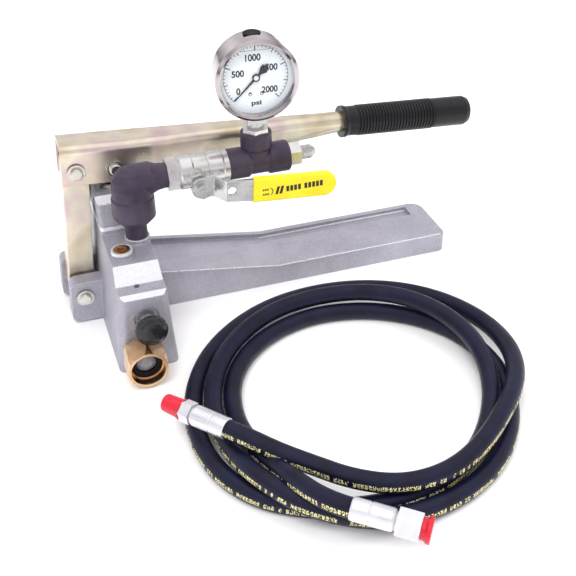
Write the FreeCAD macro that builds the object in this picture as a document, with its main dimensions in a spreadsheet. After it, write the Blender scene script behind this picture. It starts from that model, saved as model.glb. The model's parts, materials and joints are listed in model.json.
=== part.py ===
import FreeCAD, Part
import os
from math import cos, pi, radians, sin, sqrt

# Hydraulic hand pump: cast base with a plunger, a swinging link and lever, and an outlet
# manifold with a ball valve and a gauge. Millimetres, +Z up, +X along the lever and the foot.
# The origin is on the floor under the plunger's axis.

DIMS = {
    # cast base
    "block_front": -104.5, "block_left": -26.7, "block_right": 20.1,
    "low_flat_top": 68.5, "low_flat_back": -89.0, "front_bevel": 3.3,
    "high_flat_top": 80.0, "high_flat_front": -77.8,
    "tower_front": -30.0, "tower_back": 30.0, "tower_left": -19.2, "tower_right": 15.4,
    "tower_top": 109.8, "tower_face_top": 104.3, "tower_face_back": 5.1, "tower_bevel": 5.5,
    "foot_front": -27.5, "foot_back": 33.5, "foot_end": 286.0, "foot_high": 18.5,
    "foot_root_x": 24.5, "foot_root_high": 35.0, "foot_ramp_x": 128.5, "groove_deep": 4.0,
    "lug_left": -51.4, "lug_thick": 13.5, "lug_gap": 28.0, "lug_top": 38.2, "lug_low": 1.6,
    "corner_radius": 5.5, "cavity_high": 9.0, "cavity_wall": 5.0,
    # ports on the base
    "riser_x": 6.8, "run_y": -43.5, "riser_boss_r": 9.9, "riser_boss_top": 83.6,
    "plug_x": -8.9, "plug_y": -62.8, "plug_boss_r": 8.4, "plug_boss_top": 84.8,
    "knob_x": -1.5, "knob_high": 46.6, "inlet_x": -8.5, "inlet_high": 18.1,
    # plunger and cylinder
    "plunger_r": 8.0, "liner_r": 11.0, "liner_low": 22.0, "plunger_low": 30.0,
    "gland_r": 12.6, "gland_seat": 99.0, "gland_top": 113.0,
    "eye_high": 129.4, "eye_r": 10.6, "eye_thick": 14.0, "eye_slot_wide": 13.2, "eye_slot_high": 11.2,
    # link and lever
    "lower_pin_x": -38.5, "lower_pin_high": 24.5, "upper_pin_x": -30.0, "upper_pin_high": 130.8,
    "pin_r": 4.75, "pin_clearance": 0.06, "link_wide": 20.0, "link_deep": 23.2, "link_wall": 3.0,
    "lever_droop": 3.8, "lever_wide": 30.6, "lever_top": 20.8, "lever_low": -11.2, "lever_wall": 2.5,
    "lever_left": -11.0, "lever_straight": 40.0, "tube_start": 222.0, "tube_end": 334.0,
    "tube_r": 8.5, "tube_high": 14.5, "grip_start": 222.0, "grip_end": 340.5, "grip_r": 12.9,
    # outlet manifold
    "run_high": 131.3, "riser_r": 8.55, "riser_bore_r": 6.2, "elbow_low": 96.5, "elbow_r": 16.6,
    "elbow_arm_r": 9.7, "valve_start": 34.0, "valve_end": 82.0, "valve_hex": 22.0,
    "stem_x": 54.5, "tee_end": 131.6, "tee_r": 12.2, "branch_x": 106.3, "branch_top": 156.5,
    "adapter_hex": 17.5, "adapter_thread_r": 5.56, "adapter_tip": 153.8,
    # gauge
    "gauge_high": 202.5, "gauge_turn": -5.0, "bezel_r": 31.4, "case_r": 30.0,
    "case_front": -17.0, "case_back": 12.5, "dial_front": -7.4,
    # hose
    "hose_r": 6.9, "coil_x": 138.5, "coil_y": -190.0, "coil_turn": 60.0, "coil_high": 23.0,
    "coil_outer_long": 145.0, "coil_outer_short": 120.0, "coil_inner_long": 91.0,
    "coil_inner_short": 85.0, "end_high": 30.0, "swivel_gap": 0.1,
}

doc = FreeCAD.newDocument("hydraulic_hand_pump")
sheet = doc.addObject("Spreadsheet::Sheet", "dims")
for row, (alias, number) in enumerate(DIMS.items(), 1):
    sheet.set("A%d" % row, alias)
    sheet.set("B%d" % row, str(number))
    sheet.setAlias("B%d" % row, alias)
doc.recompute()

d = type("Dims", (), DIMS)
X_AXIS = FreeCAD.Vector(1, 0, 0)
Y_AXIS = FreeCAD.Vector(0, 1, 0)
Z_AXIS = FreeCAD.Vector(0, 0, 1)
OUT = FreeCAD.Vector(0, -1, 0)
nodes = []


def vec(x, y, z):
    return FreeCAD.Vector(x, y, z)


def frame(at, axis=Z_AXIS):
    """Placement whose local Z points along axis, with its origin at the point at."""
    return FreeCAD.Placement(vec(*at), FreeCAD.Rotation(Z_AXIS, axis))


def bind(part, sizes):
    for prop, text in sizes.items():
        if isinstance(text, str):
            part.setExpression(prop, text)
        else:
            setattr(part, prop, text)


def solid(kind, at=(0, 0, 0), axis=Z_AXIS, **sizes):
    """A primitive with its sizes bound to the spreadsheet."""
    part = doc.addObject("Part::" + kind, "piece")
    bind(part, sizes)
    part.Placement = frame(at, axis)
    return part


def rod(at, axis, radius, height):
    return solid("Cylinder", at, axis, Radius=radius, Height=height)


def hexagon(at, axis, across_flats, height, turn=0.0):
    part = doc.addObject("Part::Prism", "piece")
    part.Polygon = 6
    bind(part, {"Circumradius": across_flats / sqrt(3), "Height": height})
    part.Placement = frame(at, axis).multiply(
        FreeCAD.Placement(vec(0, 0, 0), FreeCAD.Rotation(Z_AXIS, turn)))
    return part


def outline(points):
    wire = doc.addObject("Part::Polygon", "outline")
    wire.Nodes = [vec(*p) for p in points]
    wire.Close = True
    return wire


def extruded(points, direction, length):
    """A flat outline pushed along a direction by a length that may be an expression."""
    part = doc.addObject("Part::Extrusion", "prism")
    part.Base = outline(points)
    part.DirMode = "Custom"
    part.Dir = direction
    part.Solid = True
    bind(part, {"LengthFwd": length})
    return part


def turned(profile, at=(0, 0, 0), axis=Z_AXIS):
    """A turned piece. The profile lists (radius, height) corners about the axis."""
    part = doc.addObject("Part::Revolution", "turning")
    part.Source = outline([(radius, 0, height) for radius, height in profile])
    part.Axis = Z_AXIS
    part.Angle = 360
    part.Solid = True
    part.Placement = frame(at, axis)
    return part


def fused(*parts):
    join = doc.addObject("Part::MultiFuse", "join")
    join.Shapes = list(parts)
    join.Refine = True
    return join


def cut(base, *tools):
    """Take each tool out of the base, one after another."""
    part = base
    for tool in tools:
        step = doc.addObject("Part::Cut", "cut")
        step.Base = part
        step.Tool = tool
        step.Refine = tool is tools[-1]
        part = step
    return part


def common(first, second):
    part = doc.addObject("Part::MultiCommon", "shared")
    part.Shapes = [first, second]
    return part


def rounded(part, radius, wanted):
    """Fillet the edges whose centre and tangent pass the test wanted(centre, direction)."""
    doc.recompute()
    edges = []
    for number, edge in enumerate(part.Shape.Edges, 1):
        middle = edge.valueAt((edge.FirstParameter + edge.LastParameter) / 2)
        start, end = edge.valueAt(edge.FirstParameter), edge.valueAt(edge.LastParameter)
        if wanted(middle, end - start):
            edges.append((number, radius, radius))
    fillet = doc.addObject("Part::Fillet", "fillet")
    fillet.Base = part
    fillet.Edges = edges
    return fillet


def placed(part, place):
    """Move a finished shape from its own frame into the pump's."""
    doc.recompute()
    moved = doc.addObject("Part::Feature", "placed")
    moved.Shape = part.Shape
    moved.Placement = place.multiply(part.Placement)
    return moved


def together(*parts):
    """Several separate solids of the same kind as one sub-part."""
    doc.recompute()
    group = doc.addObject("Part::Feature", "group")
    group.Shape = Part.makeCompound([part.Shape for part in parts])
    return group


def node(name, part, place=None):
    """Name a finished sub-part. place moves it from its own frame into the pump's."""
    doc.recompute()
    if place is not None:
        part = placed(part, place)
    part.Label = name
    nodes.append(part)
    return part


# ---------------------------------------------------------------- cast base

def side_profile():
    """Side view of the block and tower, as (y, z) corners from the front."""
    bevel = d.front_bevel
    face_back = d.tower_front + d.tower_face_back
    return [
        (d.block_front, 0), (d.block_front, d.low_flat_top - bevel),
        (d.block_front + bevel, d.low_flat_top), (d.low_flat_back, d.low_flat_top),
        (d.high_flat_front, d.high_flat_top), (d.tower_front, d.high_flat_top),
        (face_back, d.tower_face_top), (face_back + d.tower_bevel, d.tower_top),
        (d.tower_back - d.tower_bevel, d.tower_top),
        (d.tower_back, d.tower_top - d.tower_bevel), (d.tower_back, 0)]


def block_and_tower():
    side = extruded([(-40, y, z) for y, z in side_profile()], X_AXIS, 80)
    front = extruded(
        [(d.block_left, d.block_front - 5, 0), (d.block_right, d.block_front - 5, 0),
         (d.tower_right, d.block_front - 5, d.high_flat_top),
         (d.tower_right, d.block_front - 5, d.tower_top + 5),
         (d.tower_left, d.block_front - 5, d.tower_top + 5),
         (d.tower_left, d.block_front - 5, d.high_flat_top)], Y_AXIS, 160)
    body = common(side, front)
    front_edge = d.block_front + 1

    def upright_front(middle, run):
        return middle.y < front_edge and abs(run.z) > 30

    def tower_corner(middle, run):
        return middle.z > d.high_flat_top + 5 and abs(run.z) > 15 and middle.y < 0
    body = rounded(body, d.corner_radius, upright_front)
    return rounded(body, 3.0, tower_corner)


def foot_height(x):
    """Height of the foot's top at x: a ramp near the block, then level."""
    if x >= d.foot_ramp_x:
        return d.foot_high
    rise = (d.foot_root_high - d.foot_high) / (d.foot_ramp_x - d.foot_root_x)
    return d.foot_high + rise * (d.foot_ramp_x - x)


def foot():
    start = 4.0
    deep = d.foot_back - d.foot_front
    plate = extruded(
        [(start, d.foot_front, 0), (d.foot_end, d.foot_front, 0),
         (d.foot_end, d.foot_front, d.foot_high), (d.foot_ramp_x, d.foot_front, d.foot_high),
         (start, d.foot_front, foot_height(start))], Y_AXIS, deep)

    def front_corner(middle, run):
        return middle.x > d.foot_end - 1 and abs(run.z) > 10 and middle.y < 0

    def rear_corner(middle, run):
        return middle.x > d.foot_end - 1 and abs(run.z) > 10 and middle.y > 0

    def top_edge(middle, run):
        return middle.z > d.foot_high - 1 and abs(run.y) < 30 and abs(run.x) > 5
    plate = rounded(plate, 7.0, front_corner)
    plate = rounded(plate, 12.0, rear_corner)
    plate = rounded(plate, 2.0, top_edge)
    return cut(plate, groove(start), cavities())


def groove(start):
    """The long hollow along the back of the foot's top, wide at the block."""
    rear = d.foot_back - 6.0
    plan = [(start, -18.0), (foot_root(), -13.0), (92.0, 2.5), (d.foot_ramp_x, 12.5),
            (d.foot_end - 16.0, 12.5), (d.foot_end - 16.0, rear), (start, rear)]
    column = extruded([(x, y, 0) for x, y in plan], Z_AXIS, 60)
    above = extruded(
        [(start - 1, d.foot_front, foot_height(start - 1) - d.groove_deep),
         (d.foot_ramp_x, d.foot_front, d.foot_high - d.groove_deep),
         (d.foot_end, d.foot_front, d.foot_high - d.groove_deep),
         (d.foot_end, d.foot_front, 70), (start - 1, d.foot_front, 70)], Y_AXIS, 70)
    return rounded(common(column, above), 2.0, lambda middle, run: abs(run.z) < 8
                   and abs(run.x) > 40 and middle.z < 45)


def foot_root():
    return d.foot_root_x


def cavities():
    """Two rows of casting hollows under the foot, split by ribs."""
    rib = 4.0
    wide = (d.foot_back - d.foot_front - 2 * d.cavity_wall - rib) / 2
    first, last, count = 40.0, d.foot_end - 14.0, 4
    long = (last - first - (count - 1) * rib) / count
    boxes = []
    for column in range(count):
        for line in range(2):
            x = first + column * (long + rib)
            y = d.foot_front + d.cavity_wall + line * (wide + rib)
            boxes.append(solid("Box", (x, y, 0), Length=long, Width=wide, Height="dims.cavity_high"))
    return fused(*boxes)


def lugs():
    """The two ears beside the block that hold the link's lower pin."""
    ears = []
    for side, left in ((-1, d.lug_left), (1, d.lug_left - 2.2)):
        y = side * (d.lug_gap / 2) - (d.lug_thick if side < 0 else 0)
        ear = extruded(
            [(left, y, d.lug_low), (-18.0, y, d.lug_low), (-18.0, y, d.lug_top),
             (left + 2.6, y, d.lug_top)], Y_AXIS, "dims.lug_thick")
        ears.append(rounded(ear, 6.0, lambda middle, run: middle.x < d.lug_left + 4
                            and abs(run.y) > 10))
    return ears


def base_bores():
    """Every hole machined in the casting."""
    front = d.block_front
    return [
        rod((0, 0, d.liner_low), Z_AXIS, "dims.liner_r", 100),
        rod((0, 0, d.gland_seat), Z_AXIS, "dims.gland_r", 20),
        rod((0, 0, 14.0), Z_AXIS, 6.0, 10),
        rod((d.lower_pin_x, -40, d.lower_pin_high), Y_AXIS, "dims.pin_r", 80),
        rod((d.riser_x, d.run_y, 66.0), Z_AXIS, "dims.riser_r", 30),
        rod((d.riser_x, d.run_y, 56.0), Z_AXIS, 5.0, 12),
        rod((d.plug_x, d.plug_y, 62.0), Z_AXIS, 6.5, 30),
        rod((d.plug_x, d.plug_y, 30.0), Z_AXIS, 3.5, 34),
        rod((d.plug_x, d.plug_y, 60.0), vec(d.riser_x - d.plug_x, d.run_y - d.plug_y, 0), 2.5, 25),
        rod((-7.0, -64.0, 33.0), Y_AXIS, 2.5, 60),
        rod((d.knob_x, front - 1, d.knob_high), Y_AXIS, 10.0, 3.0),
        rod((d.knob_x, front - 1, d.knob_high), Y_AXIS, 7.0, 19.0),
        rod((d.knob_x, front - 1, d.knob_high), Y_AXIS, 3.0, 44.0),
        rod((d.inlet_x, front - 1, d.inlet_high), Y_AXIS, 9.0, 21.0),
        rod((d.inlet_x, front - 1, d.inlet_high), Y_AXIS, 6.5, 45.0),
        rod((d.inlet_x, front - 1, d.inlet_high), Y_AXIS, 3.5, 108.0),
        rod((-4.5, -91.2, d.low_flat_top - 12), Z_AXIS, 2.4, 20),
        link_relief(),
    ]


def link_relief():
    """Sloping pocket in the tower's side that the top of the link swings into."""
    half = d.link_deep / 2 + 1.2
    return extruded([(-19.6, -half, 86.0), (-16.1, -half, 112.0), (-24.0, -half, 112.0),
                     (-24.0, -half, 86.0)], Y_AXIS, 2 * half)


def base_casting():
    bosses = [
        rod((d.riser_x, d.run_y, 70.0), Z_AXIS, "dims.riser_boss_r", d.riser_boss_top - 70),
        rod((d.plug_x, d.plug_y, 70.0), Z_AXIS, "dims.plug_boss_r", d.plug_boss_top - 70)]
    body = fused(block_and_tower(), foot(), *lugs(), *bosses)
    node("base_casting", cut(body, *base_bores()))


# ---------------------------------------------------------------- cylinder and plunger

def cylinder_parts():
    rod_r = d.plunger_r
    liner = turned(
        [(rod_r + 0.05, d.liner_low), (d.liner_r, d.liner_low), (d.liner_r, 88.0),
         (rod_r + 0.05, 88.0)])
    node("cylinder_liner", cut(liner, rod((-7.0, -14.0, 33.0), Y_AXIS, 2.5, 12)))
    node("plunger_packing", turned(
        [(rod_r + 0.05, 88.0), (d.liner_r, 88.0), (d.liner_r, d.gland_seat),
         (rod_r + 0.05, d.gland_seat)]))
    gland = turned(
        [(rod_r + 0.08, d.gland_seat), (d.gland_r, d.gland_seat), (d.gland_r, 111.6),
         (d.gland_r - 1.4, d.gland_top), (rod_r + 0.08, d.gland_top)])
    notches = [rod((13.0 * cos(a), 13.0 * sin(a), 110.6), Z_AXIS, 2.2, 4) for a in
               (0.3, 0.3 + pi / 2, 0.3 + pi, 0.3 + 3 * pi / 2)]
    node("gland_nut", cut(gland, *notches))
    node("rod_wiper", turned(
        [(rod_r + 0.08, d.gland_top), (10.2, d.gland_top), (9.2, d.gland_top + 1.6),
         (rod_r + 0.08, d.gland_top + 1.6)]))


def slot(centre, wide, high, thick):
    """A rounded slot through the eye: wide along X, high along Z, cut along Y."""
    x, z = centre
    reach = (wide - high) / 2
    ends = [rod((x + side * reach, -thick / 2, z), Y_AXIS, high / 2, thick) for side in (-1, 1)]
    middle = solid("Box", (x - reach, -thick / 2, z - high / 2),
                   Length=2 * reach, Width=thick, Height=high)
    return fused(middle, *ends)


def plunger():
    shaft = turned(
        [(0, d.plunger_low), (d.plunger_r - 1, d.plunger_low), (d.plunger_r, d.plunger_low + 1),
         (d.plunger_r, d.eye_high - 8), (0, d.eye_high - 8)])
    eye = rod((0, -d.eye_thick / 2, d.eye_high), Y_AXIS, "dims.eye_r", "dims.eye_thick")
    neck = solid("Box", (-d.plunger_r, -d.eye_thick / 2, d.eye_high - 12),
                 Length="2 * dims.plunger_r", Width="dims.eye_thick", Height=12)
    body = fused(shaft, eye, neck)
    node("plunger", cut(body, slot((0, d.eye_high), d.eye_slot_wide, d.eye_slot_high, 20)))


# ---------------------------------------------------------------- link and lever

def link_frame():
    """Frame at the lower pin with local Z along the link."""
    run = vec(d.upper_pin_x - d.lower_pin_x, 0, d.upper_pin_high - d.lower_pin_high)
    return frame((d.lower_pin_x, 0, d.lower_pin_high), run), run.Length


def link():
    place, span = link_frame()
    half, deep = d.link_wide / 2, d.link_deep
    ends = [rod((0, -deep / 2, z), Y_AXIS, "dims.link_wide / 2", "dims.link_deep")
            for z in (0, span)]
    bar = solid("Box", (-half, -deep / 2, 0), Length="dims.link_wide", Width="dims.link_deep",
                Height=span)
    hollow = solid("Box", (-half + d.link_wall, -deep / 2 + d.link_wall, -half - 1),
                   Length=30, Width="dims.link_deep - 2 * dims.link_wall", Height=span + 2 * half + 2)
    holes = [rod((0, -20, z), Y_AXIS, "dims.pin_r + dims.pin_clearance", 40) for z in (0, span)]
    node("link_channel", cut(fused(bar, *ends), hollow, *holes), place)
    washers = []
    for side in (-1, 1):
        y = side * deep / 2 - (2.2 if side < 0 else 0)
        ring = rod((0, y, 0), Y_AXIS, 8.5, 2.2)
        washers.append(cut(ring, rod((0, y - 1, 0), Y_AXIS, "dims.pin_r + dims.pin_clearance", 5)))
    node("link_washers", fused(*washers), place)


def clevis_pin(place, half_long):
    """A plain pin along local Y with a head at the back, and the clip in its groove."""
    r = d.pin_r
    pin = placed(turned(
        [(0, -half_long - 5.2), (r - 0.8, -half_long - 5.2), (r, -half_long - 4.4),
         (r, -half_long - 2.2), (r - 0.7, -half_long - 2.2), (r - 0.7, -half_long - 1.0),
         (r, -half_long - 1.0), (r, half_long + 0.3), (6.6, half_long + 0.3),
         (6.6, half_long + 3.0), (0, half_long + 3.0)], (0, 0, 0), Y_AXIS), place)
    ring = rod((0, -half_long - 2.2, 0), Y_AXIS, 7.0, 1.2)
    gap = solid("Box", (-2.2, -half_long - 4, -9), Length=4.4, Width=6, Height=8)
    bore = rod((0, -half_long - 4, 0), Y_AXIS, r - 0.7, 6)
    return pin, placed(cut(ring, bore, gap), place)


def clevis_pins():
    """The link's lower pin in the base, and the two pins the lever carries."""
    base = frame((d.lower_pin_x, 0, d.lower_pin_high))
    pin, clip = clevis_pin(base, d.lug_gap / 2 + d.lug_thick)
    node("lower_pin", pin)
    node("lower_clip", clip)
    x_pin, z_pin = piston_pin_place()
    front = lever_frame().multiply(
        FreeCAD.Placement(vec(x_pin, 0, z_pin), FreeCAD.Rotation()))
    upper = clevis_pin(lever_frame(), d.lever_wide / 2)
    piston = clevis_pin(front, d.lever_wide / 2)
    node("lever_pins", together(upper[0], piston[0]))
    node("lever_clips", together(upper[1], piston[1]))


def lever_frame():
    """Frame at the upper pin with local X along the lever."""
    turn = FreeCAD.Rotation(Y_AXIS, d.lever_droop)
    return FreeCAD.Placement(vec(d.upper_pin_x, 0, d.upper_pin_high), turn)


def section(x, half_wide, low, top, top_r, low_r):
    """A rounded rectangle across the lever at x, with its own corner radii."""
    corners = [(half_wide, top, top_r, 0), (-half_wide, top, top_r, 90),
               (-half_wide, low, low_r, 180), (half_wide, low, low_r, 270)]
    points = []
    for y, z, r, start in corners:
        cy = y - r if y > 0 else y + r
        cz = z - r if z == top else z + r
        for angle in (start, start + 45, start + 90):
            points.append(vec(x, cy + r * cos(radians(angle)), cz + r * sin(radians(angle))))
    edges = []
    for corner in range(4):
        a, b, c = points[3 * corner:3 * corner + 3]
        edges.append(Part.Arc(a, b, c).toShape())
        edges.append(Part.makeLine(c, points[(3 * corner + 3) % 12]))
    return Part.Wire(edges)


def lever():
    place = lever_frame()
    half, wall = d.lever_wide / 2, d.lever_wall
    tube_low, tube_top = d.tube_high - d.tube_r, d.tube_high + d.tube_r
    near = section(d.lever_left, half, d.lever_low, d.lever_top, 5.5, 0.4)
    mid = section(d.lever_straight, half, d.lever_low, d.lever_top, 5.5, 0.4)
    far = section(d.tube_start - 2, d.tube_r, tube_low, tube_top, 8.3, 8.3)
    outside = Part.makeLoft([near, mid], True, True).fuse(Part.makeLoft([mid, far], True, True))
    inner_half, inner_top = half - wall, d.lever_top - wall
    near = section(d.lever_left - 1, inner_half, d.lever_low - 5, inner_top, 3.0, 0.4)
    mid = section(d.lever_straight, inner_half, d.lever_low - 5, inner_top, 2.0, 0.4)
    far = section(190.0, 7.4, -14.0, 12.0, 2.0, 0.4)
    inside = Part.makeLoft([near, mid], True, True).fuse(Part.makeLoft([mid, far], True, True))
    tube = Part.makeCylinder(d.tube_r, d.tube_end - d.tube_start + 3,
                             vec(d.tube_start - 3, 0, d.tube_high), X_AXIS)
    shape = outside.cut(inside).fuse(tube)
    for x, z in ((0, 0), piston_pin_place()):
        shape = shape.cut(Part.makeCylinder(d.pin_r, 60, vec(x, -30, z), Y_AXIS))
    part = doc.addObject("Part::Feature", "lever")
    part.Shape = shape.removeSplitter()
    node("lever_channel", part, place)
    grip(place)


def piston_pin_place():
    """The piston pin's centre in the lever's own frame."""
    offset = vec(-d.upper_pin_x, 0, d.eye_high - d.upper_pin_high)
    local = FreeCAD.Rotation(Y_AXIS, -d.lever_droop).multVec(offset)
    return local.x, local.z


def grip(place):
    """Ribbed vinyl grip: flared lip, ribs and a rounded smooth end."""
    start, end, r = d.grip_start, d.grip_end, d.grip_r
    bore = d.tube_r + 0.0
    pitch, ribs, first = 2.75, 25, start + 14.0
    profile = [(bore, start), (r + 0.4, start), (r + 0.4, start + 3.0), (r - 0.5, start + 5.0),
               (r - 0.5, first - 1.0)]
    for rib in range(ribs):
        x = first + rib * pitch
        profile += [(r - 0.9, x), (r, x + 0.5), (r, x + 1.6), (r - 0.9, x + 2.1)]
    ribs_end = first + ribs * pitch
    profile += [(r - 0.4, ribs_end), (r - 0.4, end - 6.0), (r - 2.0, end - 2.2),
                (r - 5.0, end - 0.4), (0, end), (0, d.tube_end), (bore, d.tube_end)]
    node("lever_grip", turned(profile, (0, 0, d.tube_high), X_AXIS), place)


# ---------------------------------------------------------------- outlet manifold

def riser_and_elbow():
    at = (d.riser_x, d.run_y, 0)
    r, bore = d.riser_r, d.riser_bore_r
    node("riser_nipple", turned(
        [(bore, 67.0), (r - 0.6, 67.0), (r, 68.0), (r, 110.0), (bore, 110.0)], at))
    big, low = d.elbow_r, d.elbow_low
    shell = turned(
        [(0, low), (big - 5.0, low), (big, low + 5.5), (big, 117.5), (big - 1.0, 119.0),
         (big - 1.0, 128.0), (big - 2.5, 133.5), (big - 6.5, 139.5), (big - 11.0, 142.6),
         (0, 143.4)], at)
    arm = turned(
        [(0, 0), (12.6, 0), (12.6, 14.5), (d.elbow_arm_r + 0.6, 20.0), (d.elbow_arm_r, 25.0),
         (d.elbow_arm_r, d.valve_start - d.riser_x), (7.9, d.valve_start - d.riser_x),
         (7.4, d.valve_start - d.riser_x + 8), (0, d.valve_start - d.riser_x + 8)],
        (d.riser_x, d.run_y, d.run_high), X_AXIS)
    hollow = [rod((d.riser_x, d.run_y, low - 1), Z_AXIS, "dims.riser_r", 111.0 - low),
              rod((d.riser_x, d.run_y, 105.0), Z_AXIS, 5.5, d.run_high - 105.0),
              rod((d.riser_x - 3, d.run_y, d.run_high), X_AXIS, 5.0, 60)]
    node("street_elbow", cut(fused(shell, arm), *hollow))


def ball_valve():
    """Two-piece valve body on the run, with its stem towards the front."""
    start, end = d.valve_start, d.valve_end
    at = (0, d.run_y, d.run_high)
    hex_end = hexagon((start, d.run_y, d.run_high), X_AXIS, d.valve_hex, 9.6, 30)
    shell = turned(
        [(0, 43.0), (12.0, 43.0), (13.2, 44.6), (13.2, 53.0), (12.3, 54.2), (12.3, 65.4),
         (0, 65.4)], at, X_AXIS)
    boss = rod((d.stem_x, d.run_y, d.run_high), OUT, 7.2, 17.0)
    chamber = rod((45.0, d.run_y, d.run_high), X_AXIS, 9.0, 30)
    port = rod((start - 1, d.run_y, d.run_high), X_AXIS, 7.9, 9.0)
    bore = rod((start, d.run_y, d.run_high), X_AXIS, 5.0, 20)
    stem_hole = rod((d.stem_x, d.run_y, d.run_high), OUT, 4.06, 30)
    node("valve_body", cut(fused(hex_end, shell, boss), chamber, port, bore, stem_hole))
    cap = turned(
        [(5.0, 62.0), (9.0, 62.0), (9.0, 65.4), (12.6, 65.4), (13.1, 66.4), (13.1, 77.0),
         (12.3, 78.0), (12.3, end), (6.9, end), (6.9, 72.0), (5.0, 72.0)], at, X_AXIS)
    node("valve_end_cap", cap)
    rings = []
    for first, last in ((45.0, 48.2), (60.8, 62.0)):
        rings.append(turned([(5.0, first), (9.0, first), (9.0, last), (5.0, last)], at, X_AXIS))
    seats = cut(fused(*rings), solid("Sphere", (d.stem_x, d.run_y, d.run_high), Radius=8.05))
    node("valve_seats", seats)
    ball = cut(solid("Sphere", (d.stem_x, d.run_y, d.run_high), Radius=8.0),
               rod((d.stem_x - 12, d.run_y, d.run_high), X_AXIS, 4.9, 24),
               solid("Box", (d.stem_x - 1.5, d.run_y - 9, d.run_high - 4),
                     Length=3.0, Width=3.5, Height=8.0))
    node("valve_ball", ball)
    valve_stem()
    valve_handle()


def valve_stem():
    x, y, z = d.stem_x, d.run_y, d.run_high
    tang = solid("Box", (x - 1.5, y - 8.6, z - 2.6), Length=3.0, Width=3.1, Height=5.2)
    shaft = turned([(0, 8.6), (4.0, 8.6), (4.0, 23.0), (3.0, 23.0), (3.0, 38.0), (0, 38.0)],
                   (x, y, z), OUT)
    node("valve_stem", fused(tang, shaft))
    node("stem_packing_nut", cut(hexagon((x, y - 17.0, z), OUT, 12.5, 5.0, 10),
                                 rod((x, y - 16, z), OUT, 4.06, 12)))
    node("handle_nut", cut(hexagon((x, y - 32.6, z), OUT, 10.0, 4.6, 18),
                           rod((x, y - 32, z), OUT, 3.0, 12)))
    node("handle_washer", cut(rod((x, y - 31.4, z), OUT, 6.6, 1.2),
                              rod((x, y - 31, z), OUT, 3.0, 3)))


def strip(path, half_low, half_high, thick):
    """A flat bar along (x, out) corners, of constant thickness, cut from the front outline."""
    ahead = [(x, -out, 0) for x, out in path]
    behind = [(x, -(out - thick), 0) for x, out in reversed(path)]
    part = extruded(ahead + behind, Z_AXIS, half_low + half_high)
    part.Placement = FreeCAD.Placement(vec(0, 0, -half_low), FreeCAD.Rotation())
    return part


def handle_frame():
    return FreeCAD.Placement(vec(d.stem_x, d.run_y, d.run_high),
                             FreeCAD.Rotation(Y_AXIS, 4.7))


def handle_plan():
    """Front outline of the handle: narrow at the stem, wide and rounded at the free end."""
    arm = extruded([(0, 0, -6.5), (12.0, 0, -7.2), (36.0, 0, -9.0), (92.0, 0, -9.0),
                    (92.0, 0, 9.0), (12.0, 0, 9.0), (0, 0, 8.0)], OUT, 60)
    return fused(arm, rod((92.0, 0, 0), OUT, 9.0, 60))


def valve_handle():
    """Flat lever with an outward bend, held on the stem by a nut, and its vinyl sleeve."""
    place = handle_frame()
    bar = strip([(-9.0, 31.4), (9.5, 31.4), (16.0, 41.0), (101.0, 41.0)], 9.0, 9.0, 2.4)
    plan = fused(rod((0, 0, 0), OUT, 8.0, 60), handle_plan())
    holes = [rod((0, 0, 0), OUT, 3.0, 60), rod((20.4, 0, 0.8), OUT, 3.4, 60)]
    node("valve_handle", cut(common(bar, plan), *holes), place)
    sleeve = fused(solid("Box", (36.6, -43.0, -9.8), Length=56.4, Width=6.4, Height=19.6),
                   rod((93.0, -36.6, 0), OUT, 9.8, 6.4))
    sleeve = rounded(sleeve, 1.6, lambda middle, run: abs(run.y) < 1 and middle.x > 38)
    core = common(strip([(36.0, 41.0), (101.0, 41.0)], 9.0, 9.0, 2.4), handle_plan())
    node("handle_sleeve", cut(sleeve, core), place)


def tee_and_adapter():
    at = (0, d.run_y, d.run_high)
    first, last, big = d.valve_end, d.tee_end, d.tee_r
    run = turned(
        [(0, first), (big - 0.8, first), (big, first + 1), (big, first + 16), (big - 1.6, first + 18),
         (big - 1.6, last - 18), (big, last - 16), (big, last - 1), (big - 0.8, last), (0, last)],
        at, X_AXIS)
    base = d.run_high
    branch = turned(
        [(0, 0), (big - 1.6, 0), (big - 1.6, 10.5), (big, 13.0), (big, d.branch_top - base - 1.0),
         (big - 0.8, d.branch_top - base), (0, d.branch_top - base)], (d.branch_x, d.run_y, base))
    node("tee", cut(
        fused(run, branch), rod((first - 1, d.run_y, base), X_AXIS, 6.9, 14),
        rod((first, d.run_y, base), X_AXIS, 5.6, last - first + 1),
        rod((last - 12, d.run_y, base), X_AXIS, 6.9, 14),
        rod((d.branch_x, d.run_y, base), Z_AXIS, 5.6, 40),
        rod((d.branch_x, d.run_y, d.branch_top - 12), Z_AXIS, 8.6, 14)))
    node("close_nipple", turned(
        [(4.6, 72.0), (6.9, 72.0), (6.9, first + 13), (4.6, first + 13)], at, X_AXIS))
    bushing = fused(hexagon((d.branch_x, d.run_y, d.branch_top), Z_AXIS, 19.0, 3.6, 12),
                    rod((d.branch_x, d.run_y, d.branch_top - 12), Z_AXIS, 8.6, 12))
    node("gauge_bushing", cut(bushing, rod((d.branch_x, d.run_y, d.branch_top - 13),
                                           Z_AXIS, 6.4, 20)))
    node("outlet_adapter", outlet_adapter(last))


def outlet_adapter(last):
    r, tip = d.adapter_thread_r, d.adapter_tip
    at = (0, d.run_y, d.run_high)
    hex_body = hexagon((last, d.run_y, d.run_high), X_AXIS, d.adapter_hex, 9.2, 0)
    ends = turned(
        [(0, last - 12), (6.9, last - 12), (6.9, last), (6.9, last + 9.2), (4.7, last + 9.2),
         (4.7, last + 11.0), (r, last + 11.6), (r, tip - 3.6), (2.8, tip), (0, tip)], at, X_AXIS)
    return cut(fused(hex_body, ends), rod((last - 13, d.run_y, d.run_high), X_AXIS, 2.4, 50))


# ---------------------------------------------------------------- gauge

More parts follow.
